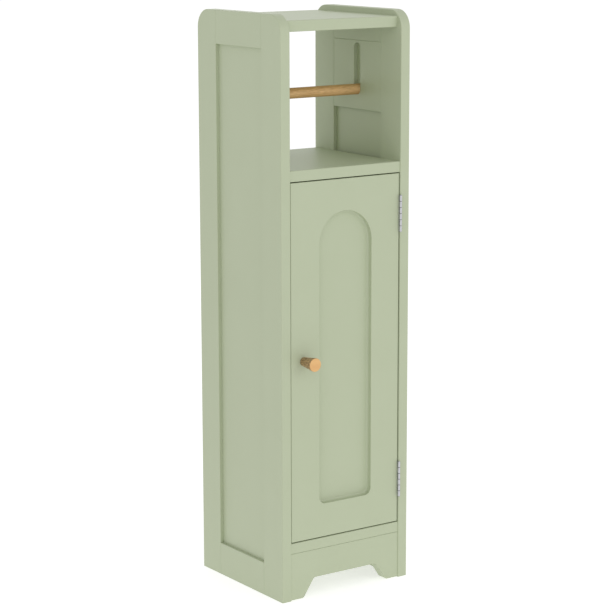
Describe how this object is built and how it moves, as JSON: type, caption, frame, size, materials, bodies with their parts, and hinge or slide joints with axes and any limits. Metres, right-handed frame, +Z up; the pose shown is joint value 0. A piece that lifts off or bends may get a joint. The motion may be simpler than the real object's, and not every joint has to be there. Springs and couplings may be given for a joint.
{
  "type": "toilet roll storage cabinet",
  "caption": "Slim free-standing bathroom cabinet with an open roll compartment, lift-out roller bar and a hinged door over the lower store.",
  "frame": {"origin": "floor level under the middle of the overall box, knob included", "axes": "+Z up, the door and knob face -Y, +X to the right of someone facing the door"},
  "size_m": [0.213, 0.2294, 0.8],
  "materials": {
    "painted_board": "satin sage green paint on board",
    "lacquered_oak": "clear lacquered oak",
    "raw_beech": "bare beech",
    "nickel_plated_steel": "satin nickel plate",
    "zinc_plated_steel": "bright zinc plate",
    "zinc_alloy": "die cast, dull",
    "white_plastic": "moulded, fine matt",
    "magnet_ferrite": "sintered ferrite, dark grey"
  },
  "bodies": {
    "carcass": {"left_front_stile": "painted_board", "left_rear_stile": "painted_board", "left_top_rail": "painted_board", "left_bottom_rail": "painted_board", "left_field_panel": "painted_board", "left_roller_block": "painted_board", "right_front_stile": "painted_board", "right_rear_stile": "painted_board", "right_top_rail": "painted_board", "right_bottom_rail": "painted_board", "right_field_panel": "painted_board", "right_roller_block": "painted_board", "top_board": "painted_board", "middle_shelf": "painted_board", "bottom_board": "painted_board", "front_apron": "painted_board", "back_panel": "painted_board", "loose_shelf": "painted_board", "shelf_pins": "zinc_plated_steel", "cam_bolts": "zinc_plated_steel", "cam_discs": "zinc_alloy", "wood_dowels": "raw_beech", "hinge_frame_leaves": "nickel_plated_steel", "hinge_pins": "nickel_plated_steel", "hinge_frame_screws": "nickel_plated_steel", "catch_housing": "white_plastic", "catch_magnet": "magnet_ferrite", "catch_pole_plates": "zinc_plated_steel", "catch_screws": "zinc_plated_steel"},
    "door": {"door_panel": "painted_board", "door_knob": "lacquered_oak", "knob_screw": "zinc_plated_steel", "hinge_door_leaves": "nickel_plated_steel", "hinge_door_screws": "nickel_plated_steel", "strike_plate": "nickel_plated_steel", "strike_screw": "nickel_plated_steel"},
    "roller": {"roller_bar": "lacquered_oak"}
  },
  "joints": [
    {"name": "door_swing", "type": "hinge", "parent": "carcass", "child": "door", "pos_m": [0.0909, -0.08995, 0.3305], "axis": [0, 0, 1], "range_deg": [0, 178]},
    {"name": "roller_lift", "type": "slide", "parent": "carcass", "child": "roller", "axis": [0, 0, 1], "range_m": [0, 0.057]}
  ]
}
